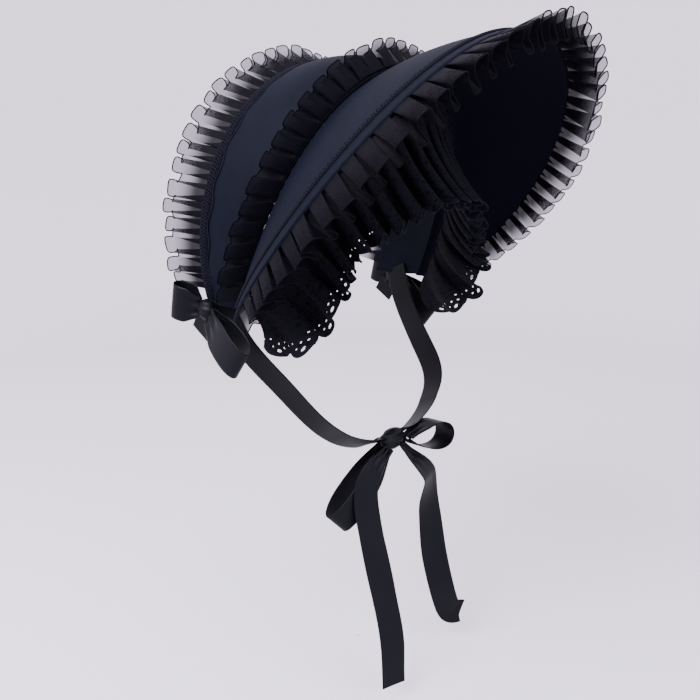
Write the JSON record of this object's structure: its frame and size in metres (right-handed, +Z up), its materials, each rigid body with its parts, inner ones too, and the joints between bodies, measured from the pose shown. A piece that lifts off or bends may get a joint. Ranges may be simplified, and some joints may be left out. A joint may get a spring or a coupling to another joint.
{
  "type": "lace bonnet",
  "caption": "Costume half bonnet: a band over the crown, a flared stiff brim, pleated sheer ruffles, a lace frill, side bows, and ribbon ties that meet in a bow under the chin.",
  "frame": {"origin": "where the bonnet sits on the crown of the head, at the top middle of the inner face of the brim seam", "axes": "+Z up, -Y forwards the way the wearer faces, +X to the wearer's left"},
  "size_m": [0.2585, 0.2404, 0.4457],
  "materials": {
    "twill": "matt dark navy twill over a stiff lining",
    "organza": "sheer black organza with a rolled hem",
    "lace": "matt black cotton lace",
    "satin": "soft black satin ribbon"
  },
  "bodies": {
    "root": {"crown_band": "twill", "brim": "twill", "rear_braid": "lace", "brim_braid": "lace", "rear_ruffle": "organza", "seam_ruffle": "organza", "rim_ruffle": "organza", "lace_frill": "lace", "side_bow_knot_right": "satin", "side_bow_rear_loop_right": "satin", "side_bow_front_loop_right": "satin", "side_bow_end_right": "satin", "side_bow_knot_left": "satin", "side_bow_rear_loop_left": "satin", "side_bow_front_loop_left": "satin", "side_bow_end_left": "satin", "tie_right": "satin", "tie_left": "satin", "chin_knot": "satin", "chin_loop_right": "satin", "chin_loop_left": "satin", "tail_right": "satin", "tail_left": "satin"}
  },
  "joints": []
}
